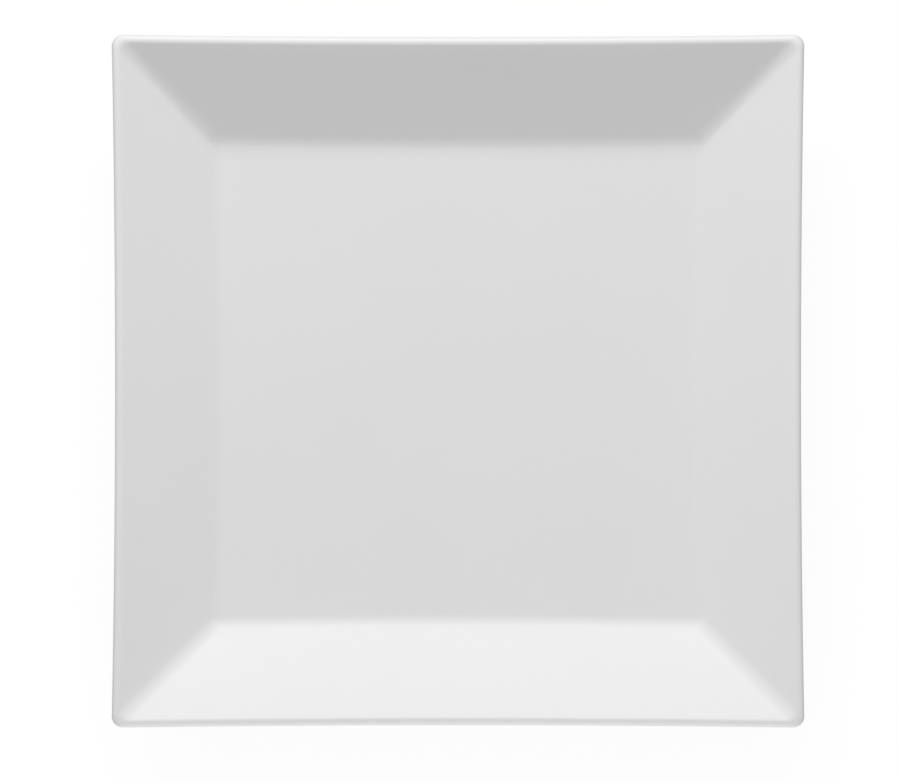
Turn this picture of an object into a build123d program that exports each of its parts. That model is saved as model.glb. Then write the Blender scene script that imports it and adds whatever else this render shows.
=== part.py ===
from build123d import *
from math import asin, atan2, cos, hypot, radians, sin, tan
import os

# A square dinner plate in glazed porcelain.
# One fired clay body carries two patches of glaze. The bare foot ring keeps the patches apart.
# Millimetres, +Z up, with the origin on the table under the middle of the plate.

# Driving dimensions
plate_width = 265.0  # across the lip
plate_height = 28.0  # from the table to the top of the lip
well_width = 187.0  # across the floor of the well, to where the rim would start without its fillet
rim_thickness = 4.6  # square to the rim's faces, glaze included
base_thickness = 5.0  # under the well, glaze included
corner_radius = 4.4  # of the lip's corners, seen from above
lip_flat = 0.184  # by which each of the lip's two fillets falls short of half the rim's thickness
inner_fillet = 9.0  # round the floor of the well and up the four mitres between the rim's sides
outer_fillet = 6.0  # the same on the outside
foot_height = 2.8  # depth of the recess inside the foot ring
foot_width = 3.2  # of the face that the plate stands on
foot_draft = 12.0  # lean of the foot ring's walls, in degrees
foot_shelf = 5.0  # from the toe of the rim in to the foot ring's standing face
foot_corner_radius = 8.0  # of the foot ring's middle line, seen from below
foot_root_fillet = 1.6  # of the glaze that pools where the foot ring joins the underside
foot_edge_fillet = 0.6  # of the standing face's two edges
glaze_thickness = 0.3
glaze_line = 1.0  # height up to which the foot ring is wiped bare

# Sizes that follow from them
floor_height = foot_height + base_thickness
nose_radius = rim_thickness / 2
lip_fillet = nose_radius - lip_flat
rim_run = plate_width / 2 - nose_radius - well_width / 2
rim_rise = plate_height - nose_radius - floor_height
rim_slope = atan2(rim_rise, rim_run) + asin(nose_radius / hypot(rim_run, rim_rise))
draft = radians(foot_draft)

level_tolerance = 1e-3


def rim_level(height, depth):
    """Half width and height of the rim's surface that lies some depth under its upper face."""
    return well_width / 2 + depth / sin(rim_slope) + (height - floor_height) / tan(rim_slope), height


def level_edges(part, height):
    """The edges of a part that lie flat at one height."""
    near = part.edges().filter_by_position(Axis.Z, height - level_tolerance, height + level_tolerance)
    return near.filter_by(lambda edge: edge.bounding_box().size.Z < level_tolerance)


def hopper(low, high, radius):
    """A square block that widens from one (half width, height) to another, rounded below its top edge."""
    (low_half, low_height), (high_half, high_height) = low, high
    side = Polyline((-low_half, low_height), low, high, (-high_half, high_height), close=True)
    slab = extrude(Plane.XZ * make_face(side), plate_width, both=True)
    block = slab & Rot(0, 0, 90) * slab
    return fillet(block.edges() - level_edges(block, high_height), radius)


def dish(inset):
    """The well and the rim without the foot, every face moved into the clay by the inset."""
    under = foot_height + inset
    floor = floor_height - inset
    top = plate_height - inset
    width = plate_width - 2 * inset
    depth = rim_thickness - inset
    outside = hopper(rim_level(under, depth), rim_level(top, depth), outer_fillet - inset)
    trim = extrude(Pos(0, 0, under) * RectangleRounded(width, width, corner_radius - inset), top - under)
    block = outside & trim
    lower_lip = new_edges(outside, trim, combined=block) - level_edges(block, top)
    block = fillet(lower_lip, lip_fillet - inset)
    pocket = hopper(rim_level(floor, inset), rim_level(top + nose_radius, inset), inner_fillet + inset)
    shape = block - pocket
    return fillet(level_edges(shape, top), lip_fillet - inset)


def foot_ring(coat):
    """The foot ring, up to the middle of the base, with a coat of some thickness on its walls."""
    top = foot_height + base_thickness / 2
    low_half = foot_width / 2 + coat / cos(draft)
    high_half = low_half + top * tan(draft)
    section = Polyline((-low_half, 0), (low_half, 0), (high_half, top), (-high_half, top), close=True)
    toe_half_width, _ = rim_level(foot_height, rim_thickness)
    ring_width = 2 * (toe_half_width - foot_shelf) - foot_width
    path = RectangleRounded(ring_width, ring_width, foot_corner_radius).wire()
    along = path % 0
    start = Plane(path @ 0, x_dir=Vector(0, 0, 1).cross(along), z_dir=along)
    return sweep(start * make_face(section), path)


def porcelain_body():
    """The fired clay, with the edges of its standing face softened."""
    shape = dish(glaze_thickness) + foot_ring(0)
    return fillet(level_edges(shape, 0), foot_edge_fillet)


def glaze_coats(body):
    """The outer coat and the coat inside the foot ring: what lies on the clay above the wiped foot."""
    upper = dish(0)
    foot = foot_ring(glaze_thickness)
    glazed = upper + foot
    glazed = fillet(new_edges(upper, foot, combined=glazed), foot_root_fillet)
    wiped = Box(plate_width, plate_width, 2 * glaze_line)
    base, outer = (glazed - wiped - body).solids().sort_by(SortBy.VOLUME)
    return outer, base


def main():
    body = porcelain_body()
    outer_coat, base_coat = glaze_coats(body)
    pieces = {
        "porcelain_body": body,
        "outer_glaze_coat": outer_coat,
        "base_glaze_coat": base_coat,
    }
    os.makedirs("parts", exist_ok=True)
    for name, piece in pieces.items():
        export_step(piece, f"parts/{name}.step")


main()
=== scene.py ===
from math import asin, atan2, ceil, copysign, cos, degrees, hypot, pi, radians, sin, tan

import bmesh
import bpy
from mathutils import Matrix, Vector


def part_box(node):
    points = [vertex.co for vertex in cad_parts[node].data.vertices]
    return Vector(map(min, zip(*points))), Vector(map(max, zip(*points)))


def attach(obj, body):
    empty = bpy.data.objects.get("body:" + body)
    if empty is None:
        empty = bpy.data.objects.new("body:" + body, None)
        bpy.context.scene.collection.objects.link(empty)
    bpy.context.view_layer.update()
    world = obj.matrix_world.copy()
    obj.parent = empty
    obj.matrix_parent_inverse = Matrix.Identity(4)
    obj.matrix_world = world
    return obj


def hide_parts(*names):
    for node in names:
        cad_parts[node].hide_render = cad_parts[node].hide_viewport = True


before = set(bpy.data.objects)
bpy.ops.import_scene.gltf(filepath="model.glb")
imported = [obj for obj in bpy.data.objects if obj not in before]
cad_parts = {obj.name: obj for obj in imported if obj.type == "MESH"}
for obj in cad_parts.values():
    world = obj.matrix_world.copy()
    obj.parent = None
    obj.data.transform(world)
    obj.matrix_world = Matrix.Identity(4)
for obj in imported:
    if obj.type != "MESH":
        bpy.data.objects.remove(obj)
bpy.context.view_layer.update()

# A square dinner plate in white glazed porcelain, seen from straight above.
# The section of each piece is carried round rounded squares with drawn-in sides.
# Metres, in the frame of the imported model.

MM = 0.001

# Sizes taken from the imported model
coat_low, coat_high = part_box("outer_glaze_coat")
_, clay_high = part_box("porcelain_body")
PLATE_HALF = coat_high.x
PLATE_HEIGHT = coat_high.z
GLAZE = coat_high.x - clay_high.x
GLAZE_LINE = coat_low.z

# Sizes of the section
WELL_HALF = 93.5 * MM  # to where the rim would start without its fillet
RIM_THICKNESS = 4.6 * MM
BASE_THICKNESS = 5.0 * MM
INNER_FILLET = 9.0 * MM
OUTER_FILLET = 6.0 * MM
FOOT_HEIGHT = 2.8 * MM
FOOT_WIDTH = 3.2 * MM
FOOT_DRAFT = 12.0  # degrees
FOOT_SHELF = 5.0 * MM  # from the toe of the rim in to the foot ring's standing face
FOOT_ROOT_FILLET = 1.6 * MM
FOOT_EDGE_FILLET = 0.6 * MM

# Sizes seen from above
CORNER_RADIUS = 4.4 * MM
FOOT_CORNER_RADIUS = 8.0 * MM
LEAST_CORNER = 0.3 * MM  # where the section's own arc would leave a sharp corner
DRAW_IN_X = 1.35 * MM  # how far the left and right sides draw in at their middles
DRAW_IN_Y = 0.95 * MM  # the same for the near and far sides

# How finely the meshes are divided
SIDE_STEPS = 44
HALF_CORNER_STEPS = 5
BEND_STEP = 6.0  # degrees
RIM_STEPS = 10
FOOT_STEPS = 2
SHARP_ANGLE = 40.0  # degrees

# Noises of the two materials: waves to the metre, and detail
CLOUDS = (16, 3)
RIPPLE = (30, 1)
PEEL = (420, 2)
GRAIN = (1400, 4)
SMEARS = (60, 3)
NOISE_SPAN = (0.35, 0.65)  # where a noise mostly lies

# White satin glaze
GLAZE_GREYS = (0.871, 0.881)
GLAZE_ROUGHNESS = (0.53, 0.555)
GLAZE_IOR = 1.5
RIPPLE_DEPTH = 0.010 * MM
PEEL_DEPTH = 0.004 * MM
LIP_SHARE = "lip_share"  # how far a point lies from the crest of the lip to its outermost line
PAINTED_SHADE_SPAN = (0.5, 0.95)  # the share over which the painted shade on the lip deepens
PAINTED_LIP_SHADE = 0.86  # painted shade: what is left of the colour at the lip's outermost line

# Bare fired clay
BISQUE_DARK = (0.72, 0.70, 0.655)
BISQUE_LIGHT = (0.80, 0.785, 0.75)
BISQUE_ROUGHNESS = (0.68, 0.84)
GRAIN_DEPTH = 0.05 * MM

# White floor
STAGE_HALF = 6.0
STAGE_DROP = 0.1 * MM  # under the foot, so that the two faces don't coincide
STAGE_BOUNCE = 0.4  # how much light it throws back on the plate
STAGE_GLOW = 0.90  # how white it is by itself where it is seen
STAGE_LIT = 0.14  # how much it shows of the light that falls on it, and so of the plate's shadow

# Light: the key lamp beyond the top of the picture, a low card before the plate, and an even fill.
# Powers are in watts and angles in degrees. An azimuth runs from +Y towards -X.
KEY_POWER = 16.5
KEY_AZIMUTH = 6.5
KEY_ELEVATION = 27.5
KEY_DISTANCE = 1.7
KEY_SIZE = (1.7, 0.2)
CARD_POWER = 0.9
CARD_AZIMUTH = 180
CARD_ELEVATION = 2.0
CARD_DISTANCE = 0.5
CARD_SIZE = (0.6, 0.03)
FILL = 0.555

# The photograph's framing: how far the camera stands over the lip, and the width of a pixel there
CAMERA_DISTANCE = 1.5
IMAGE_WIDTH = 898  # pixels
PIXEL = 0.3824 * MM
CAMERA_X = -3.45 * MM
CAMERA_Y = -3.95 * MM

# What follows from the sizes
WELL_FLOOR = FOOT_HEIGHT + BASE_THICKNESS
LIP_RADIUS = RIM_THICKNESS / 2
LIP_CENTRE = (PLATE_HALF - LIP_RADIUS, PLATE_HEIGHT - LIP_RADIUS)
RIM_RUN = LIP_CENTRE[0] - WELL_HALF
RIM_RISE = LIP_CENTRE[1] - WELL_FLOOR
RIM_SLOPE = atan2(RIM_RISE, RIM_RUN) + asin(LIP_RADIUS / hypot(RIM_RUN, RIM_RISE))
SLOPE = degrees(RIM_SLOPE)
TOE_HALF = WELL_HALF + RIM_THICKNESS / sin(RIM_SLOPE) - BASE_THICKNESS / tan(RIM_SLOPE)
WELL_CENTRE = (WELL_HALF - INNER_FILLET * tan(RIM_SLOPE / 2), WELL_FLOOR + INNER_FILLET)
TOE_CENTRE = (TOE_HALF - OUTER_FILLET * tan(RIM_SLOPE / 2), FOOT_HEIGHT + OUTER_FILLET)
FOOT_LINE = TOE_HALF - FOOT_SHELF - FOOT_WIDTH / 2
FOOT_PIVOT = FOOT_LINE - FOOT_CORNER_RADIUS
DRAFT = radians(FOOT_DRAFT)
FOOT_TURN = 90 - FOOT_DRAFT  # degrees between a level face and the foot ring's walls


def bend(centre, radius, start, end, pivot=None, corner=None):
    """Stations on an arc of the section, at angles in degrees that run from straight down outwards.

    A station is a half width, a height and a corner radius. Corners turn about the pivot, which is
    the arc's own centre unless it is given, or have the corner radius that is given.
    """
    steps = max(2, ceil(abs(end - start) / BEND_STEP))
    about = centre[0] if pivot is None else pivot
    stations = []
    for step in range(steps + 1):
        angle = radians(start + (end - start) * step / steps)
        half = centre[0] + radius * sin(angle)
        height = centre[1] - radius * cos(angle)
        stations.append((half, height, max(half - about, LEAST_CORNER) if corner is None else corner))
    return stations


def run(first, last, steps):
    """The stations between two others on a straight stretch of the section."""
    shares = [step / steps for step in range(1, steps)]
    return [tuple(a + (b - a) * share for a, b in zip(first, last)) for share in shares]


def rim_section(depth):
    """From the floor of the well over the lip to the toe of the rim, some depth under the glaze's face."""
    well = bend(WELL_CENTRE, INNER_FILLET + depth, 0, SLOPE)
    lip = bend(LIP_CENTRE, LIP_RADIUS - depth, SLOPE + 180, SLOPE, corner=CORNER_RADIUS - depth)
    toe = bend(TOE_CENTRE, OUTER_FILLET - depth, SLOPE, 0)
    return well + run(well[-1], lip[0], RIM_STEPS) + lip + run(lip[-1], toe[0], RIM_STEPS) + toe


def foot_wall(height, side, depth):
    """A station on the foot's wall, some depth under the glaze; side is 1 outside and -1 in the recess."""
    coat = (GLAZE - depth) / cos(DRAFT)
    half = FOOT_LINE + side * (FOOT_WIDTH / 2 + coat + height * tan(DRAFT))
    return half, height, half - FOOT_PIVOT


def glazed_foot(side):
    """The glaze's face from the underside, round the pooled root, to the rounded end at the glaze line."""
    root_height = FOOT_HEIGHT - FOOT_ROOT_FILLET
    root_half = foot_wall(root_height, side, 0)[0] + side * FOOT_ROOT_FILLET / cos(DRAFT)
    root = bend((root_half, root_height), FOOT_ROOT_FILLET, 180, 180 + side * FOOT_TURN, FOOT_PIVOT)
    bead_height = GLAZE_LINE + GLAZE / 2
    bead_half = foot_wall(bead_height, side, GLAZE / 2)[0]
    bead = bend((bead_half, bead_height), GLAZE / 2, side * 90, -side * 90, FOOT_PIVOT)
    return root + bead


def bare_foot():
    """The clay's foot ring, from the underside down the outer wall and up the inner one."""
    top = FOOT_HEIGHT + GLAZE
    edge_in = FOOT_WIDTH / 2 - FOOT_EDGE_FILLET * tan((pi / 2 - DRAFT) / 2)
    outer = foot_wall(top, 1, GLAZE)
    inner = foot_wall(top, -1, GLAZE)
    outer_centre = (FOOT_LINE + edge_in, FOOT_EDGE_FILLET)
    inner_centre = (FOOT_LINE - edge_in, FOOT_EDGE_FILLET)
    outer_edge = bend(outer_centre, FOOT_EDGE_FILLET, FOOT_TURN, 0, FOOT_PIVOT)
    inner_edge = bend(inner_centre, FOOT_EDGE_FILLET, 0, -FOOT_TURN, FOOT_PIVOT)
    walls = [outer] + run(outer, outer_edge[0], FOOT_STEPS) + outer_edge
    return walls + inner_edge + run(inner_edge[-1], inner, FOOT_STEPS) + [inner]


def drawn_in(x, y, half):
    """A point on a square of some half width, moved in as its sides draw in between the corners."""
    in_x = DRAW_IN_X * (1 - (y / half) ** 2)
    in_y = DRAW_IN_Y * (1 - (x / half) ** 2)
    return x - copysign(in_x, x), y - copysign(in_y, y)


def rounded_square(half, corner):
    """Points round a square with rounded corners and drawn-in sides, from the middle of one corner."""
    straight = half - corner
    places = []
    for step in range(-HALF_CORNER_STEPS, 0):
        angle = pi / 4 * step / HALF_CORNER_STEPS
        places.append((straight + corner * cos(angle), corner * sin(angle) - straight))
    for step in range(SIDE_STEPS + 1):
        places.append((half, straight * (2 * step / SIDE_STEPS - 1)))
    for step in range(1, HALF_CORNER_STEPS):
        angle = pi / 4 * step / HALF_CORNER_STEPS
        places.append((straight + corner * cos(angle), corner * sin(angle) + straight))
    turns = ((1, 0), (0, 1), (-1, 0), (0, -1))
    return [drawn_in(a * c - b * s, a * s + b * c, half) for c, s in turns for a, b in places]


def cap(ring, points, faces):
    """Closes a ring of points with a square grid that is stretched between its four sides."""
    count = len(ring) // 4
    rows = [[None] * (count + 1) for _ in range(count + 1)]
    for step in range(count + 1):
        rows[0][step] = ring[step]
        rows[step][count] = ring[count + step]
        rows[count][step] = ring[3 * count - step]
        rows[step][0] = ring[-step]
    corners = [points[ring[place * count]] for place in range(4)]
    for row in range(1, count):
        t = row / count
        for column in range(1, count):
            s = column / count
            low, high = points[rows[0][column]], points[rows[count][column]]
            left, right = points[rows[row][0]], points[rows[row][count]]
            weights = ((1 - s) * (1 - t), s * (1 - t), s * t, (1 - s) * t)
            blend = [
                (1 - t) * low[axis] + t * high[axis] + (1 - s) * left[axis] + s * right[axis]
                - sum(weight * place[axis] for weight, place in zip(weights, corners))
                for axis in range(3)
            ]
            rows[row][column] = len(points)
            points.append(tuple(blend))
    for upper, lower in zip(rows, rows[1:]):
        for column in range(count):
            faces.append((upper[column], upper[column + 1], lower[column + 1], lower[column]))


def add_object(name, data):
    """An object in the scene that holds a mesh, a lamp or a camera."""
    holder = bpy.data.objects.new(name, data)
    bpy.context.scene.collection.objects.link(holder)
    return holder


def skin(name, stations):
    """A closed mesh object whose rings follow the stations, with a grid over the first and the last."""
    points, faces, rings, shares = [], [], [], []
    for half, height, corner in stations:
        start = len(points)
        points += [(x, y, height) for x, y in rounded_square(half, corner)]
        rings.append(list(range(start, len(points))))
        shares += [max(0, (half - LIP_CENTRE[0]) / LIP_RADIUS)] * len(rings[-1])
    for inner, outer in zip(rings, rings[1:]):
        for place in range(len(inner)):
            after = (place + 1) % len(inner)
            faces.append((inner[place], inner[after], outer[after], outer[place]))
    cap(rings[0], points, faces)
    cap(rings[-1], points, faces)
    shares += [0] * (len(points) - len(shares))
    mesh = bpy.data.meshes.new(name)
    mesh.from_pydata(points, [], faces)
    work = bmesh.new()
    work.from_mesh(mesh)
    bmesh.ops.recalc_face_normals(work, faces=work.faces)
    work.to_mesh(mesh)
    work.free()
    mesh.attributes.new(LIP_SHARE, "FLOAT", "POINT").data.foreach_set("value", shares)
    mesh.shade_smooth()
    mesh.set_sharp_from_angle(angle=radians(SHARP_ANGLE))
    return add_object(name, mesh)


def outer_coat():
    """The glaze over the well, the rim, the lip and the outside, down to the wiped foot."""
    back = rim_section(GLAZE) + [foot_wall(FOOT_HEIGHT + GLAZE, 1, GLAZE)]
    return skin("outer_glaze", rim_section(0) + glazed_foot(1) + back[::-1])


def base_coat():
    """The glaze in the recess under the plate, down to the wiped foot."""
    return skin("base_glaze", glazed_foot(-1) + [foot_wall(FOOT_HEIGHT + GLAZE, -1, GLAZE)])


def clay_body():
    """The fired clay under the glaze, with its bare foot ring."""
    return skin("clay_body", rim_section(GLAZE) + bare_foot())


def grey(value):
    """An opaque grey, as a node's colour."""
    return value, value, value, 1


def new_material(name):
    """A node material, with its tree, its shader and the object's own coordinates."""
    material = bpy.data.materials.new(name)
    material.use_nodes = True
    tree = material.node_tree
    shader = tree.nodes["Principled BSDF"]
    place = tree.nodes.new("ShaderNodeTexCoord").outputs["Object"]
    return material, tree, shader, place


def noise(tree, place, scale, detail):
    """A noise over the object's own coordinates; scale is in waves to the metre."""
    node = tree.nodes.new("ShaderNodeTexNoise")
    node.inputs["Scale"].default_value = scale
    node.inputs["Detail"].default_value = detail
    tree.links.new(place, node.inputs["Vector"])
    return node.outputs["Fac"]


def shades(tree, value, dark, light):
    """A colour between two, by a noise."""
    ramp = tree.nodes.new("ShaderNodeValToRGB")
    for element, position, colour in zip(ramp.color_ramp.elements, NOISE_SPAN, (dark, light)):
        element.position = position
        element.color = colour
    tree.links.new(value, ramp.inputs["Fac"])
    return ramp.outputs["Color"]


def between(tree, value, ends, span=NOISE_SPAN):
    """A number that goes from one end to the other while a value crosses its span."""
    node = tree.nodes.new("ShaderNodeMapRange")
    node.inputs["From Min"].default_value, node.inputs["From Max"].default_value = span
    node.inputs["To Min"].default_value, node.inputs["To Max"].default_value = ends
    tree.links.new(value, node.inputs["Value"])
    return node.outputs["Result"]


def relief(tree, value, depth, under=None):
    """Normals for a relief of some depth in metres, on top of another relief's normals."""
    node = tree.nodes.new("ShaderNodeBump")
    node.inputs["Distance"].default_value = depth
    tree.links.new(value, node.inputs["Height"])
    if under is not None:
        tree.links.new(under, node.inputs["Normal"])
    return node.outputs["Normal"]


def painted_shade_at_lip(tree, coat):
    """Painted shade: a colour that darkens over the outside of the lip, where it turns down towards the
    floor.
    """
    outward = tree.nodes.new("ShaderNodeAttribute")
    outward.attribute_name = LIP_SHARE
    shaded = tree.nodes.new("ShaderNodeVectorMath")
    shaded.operation = "SCALE"
    tree.links.new(coat, shaded.inputs["Vector"])
    shade = between(tree, outward.outputs["Fac"], (1, PAINTED_LIP_SHADE), PAINTED_SHADE_SPAN)
    tree.links.new(shade, shaded.inputs["Scale"])
    return shaded.outputs["Vector"]


def glaze_material():
    """White satin glaze: a little uneven in tone, gloss and level, with painted shade on the outside of the
    lip.
    """
    material, tree, shader, place = new_material("satin_glaze")
    ripple = noise(tree, place, *RIPPLE)
    dark, light = (grey(value) for value in GLAZE_GREYS)
    coat = shades(tree, noise(tree, place, *CLOUDS), dark, light)
    level = relief(tree, noise(tree, place, *PEEL), PEEL_DEPTH, relief(tree, ripple, RIPPLE_DEPTH))
    # the colour carries painted shade on the outside of the lip
    tree.links.new(painted_shade_at_lip(tree, coat), shader.inputs["Base Color"])
    tree.links.new(between(tree, ripple, GLAZE_ROUGHNESS), shader.inputs["Roughness"])
    tree.links.new(level, shader.inputs["Normal"])
    shader.inputs["IOR"].default_value = GLAZE_IOR
    return material


def bisque_material():
    """Bare fired clay: matt, fine grained, a little warmer than the glaze."""
    material, tree, shader, place = new_material("bisque")
    grain = noise(tree, place, *GRAIN)
    clay = shades(tree, noise(tree, place, *SMEARS), (*BISQUE_DARK, 1), (*BISQUE_LIGHT, 1))
    tree.links.new(clay, shader.inputs["Base Color"])
    tree.links.new(between(tree, grain, BISQUE_ROUGHNESS), shader.inputs["Roughness"])
    tree.links.new(relief(tree, grain, GRAIN_DEPTH), shader.inputs["Normal"])
    return material


def seen_directly(tree):
    """1 for rays from the camera, in mirrors or through glass, and 0 for light that bounces softly."""
    rays = tree.nodes.new("ShaderNodeLightPath").outputs
    seen = rays["Is Camera Ray"]
    for kind in ("Is Glossy Ray", "Is Transmission Ray"):
        either = tree.nodes.new("ShaderNodeMath")
        either.operation = "MAXIMUM"
        tree.links.new(seen, either.inputs[0])
        tree.links.new(rays[kind], either.inputs[1])
        seen = either.outputs["Value"]
    return seen


def show(tree, soft, direct, output):
    """Gives an output one shader for soft light, and another where it is seen directly."""
    mix = tree.nodes.new("ShaderNodeMixShader")
    tree.links.new(seen_directly(tree), mix.inputs["Fac"])
    tree.links.new(soft, mix.inputs[1])
    tree.links.new(direct, mix.inputs[2])
    tree.links.new(mix.outputs["Shader"], tree.nodes[output].inputs["Surface"])


def diffuse(tree, value):
    """A matt grey shader."""
    node = tree.nodes.new("ShaderNodeBsdfDiffuse")
    node.inputs["Color"].default_value = grey(value)
    return node.outputs["BSDF"]


def white_floor():
    """A white floor that keeps the plate's shadow, faintly."""
    signs = ((-1, -1), (1, -1), (1, 1), (-1, 1))
    corners = [(x * STAGE_HALF, y * STAGE_HALF, -STAGE_DROP) for x, y in signs]
    mesh = bpy.data.meshes.new("floor")
    mesh.from_pydata(corners, [], [(0, 1, 2, 3)])
    material = bpy.data.materials.new("white_floor")
    material.use_nodes = True
    tree = material.node_tree
    tree.nodes.remove(tree.nodes["Principled BSDF"])
    glow = tree.nodes.new("ShaderNodeEmission")
    glow.inputs["Strength"].default_value = STAGE_GLOW
    shown = tree.nodes.new("ShaderNodeAddShader")
    tree.links.new(diffuse(tree, STAGE_LIT), shown.inputs[0])
    tree.links.new(glow.outputs["Emission"], shown.inputs[1])
    show(tree, diffuse(tree, STAGE_BOUNCE), shown.outputs["Shader"], "Material Output")
    mesh.materials.append(material)
    add_object("floor", mesh)


def soft_lamp(name, power, size, azimuth, elevation, distance):
    """A rectangular lamp that faces the plate; the azimuth runs from +Y towards -X."""
    lamp = bpy.data.lights.new(name, "AREA")
    lamp.shape = "RECTANGLE"
    lamp.energy = power
    lamp.size, lamp.size_y = size
    holder = add_object(name, lamp)
    rise, turn = radians(elevation), radians(azimuth)
    holder.location = (
        -distance * cos(rise) * sin(turn),
        distance * cos(rise) * cos(turn),
        distance * sin(rise),
    )
    holder.rotation_euler = (rise - pi / 2, 0, turn)
    holder.visible_camera = False


def background(tree, strength):
    """A white background shader of some strength."""
    node = tree.nodes.new("ShaderNodeBackground")
    node.inputs["Color"].default_value = grey(1)
    node.inputs["Strength"].default_value = strength
    return node.outputs["Background"]


def studio_light():
    """A wide soft lamp, a low card that lifts the near side of the lip, and an even fill from all round."""
    soft_lamp("key", KEY_POWER, KEY_SIZE, KEY_AZIMUTH, KEY_ELEVATION, KEY_DISTANCE)
    soft_lamp("card", CARD_POWER, CARD_SIZE, CARD_AZIMUTH, CARD_ELEVATION, CARD_DISTANCE)
    world = bpy.data.worlds.new("studio")
    world.use_nodes = True
    bpy.context.scene.world = world
    tree = world.node_tree
    tree.nodes.remove(tree.nodes["Background"])
    show(tree, background(tree, FILL), background(tree, 1), "World Output")


def overhead_camera():
    """A camera that looks straight down, with +Y at the top of the picture."""
    lens = bpy.data.cameras.new("overhead")
    lens.lens = lens.sensor_width * CAMERA_DISTANCE / (IMAGE_WIDTH * PIXEL)
    camera = add_object("overhead", lens)
    camera.location = (CAMERA_X, CAMERA_Y, LIP_CENTRE[1] + CAMERA_DISTANCE)
    bpy.context.scene.camera = camera


def main():
    """The three pieces that stand for the nodes, and the floor, the light and the camera."""
    glaze = glaze_material()
    bisque = bisque_material()
    for piece, node, slot, material in (
        (outer_coat(), "outer_glaze_coat", "glaze", glaze),
        (base_coat(), "base_glaze_coat", "glaze", glaze),
        (clay_body(), "porcelain_body", "bisque", bisque),
    ):
        piece.data.materials.append(material)
        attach(piece, "root")
        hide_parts(node)
    white_floor()
    studio_light()
    overhead_camera()
    bpy.context.scene.view_settings.view_transform = "Standard"


main()
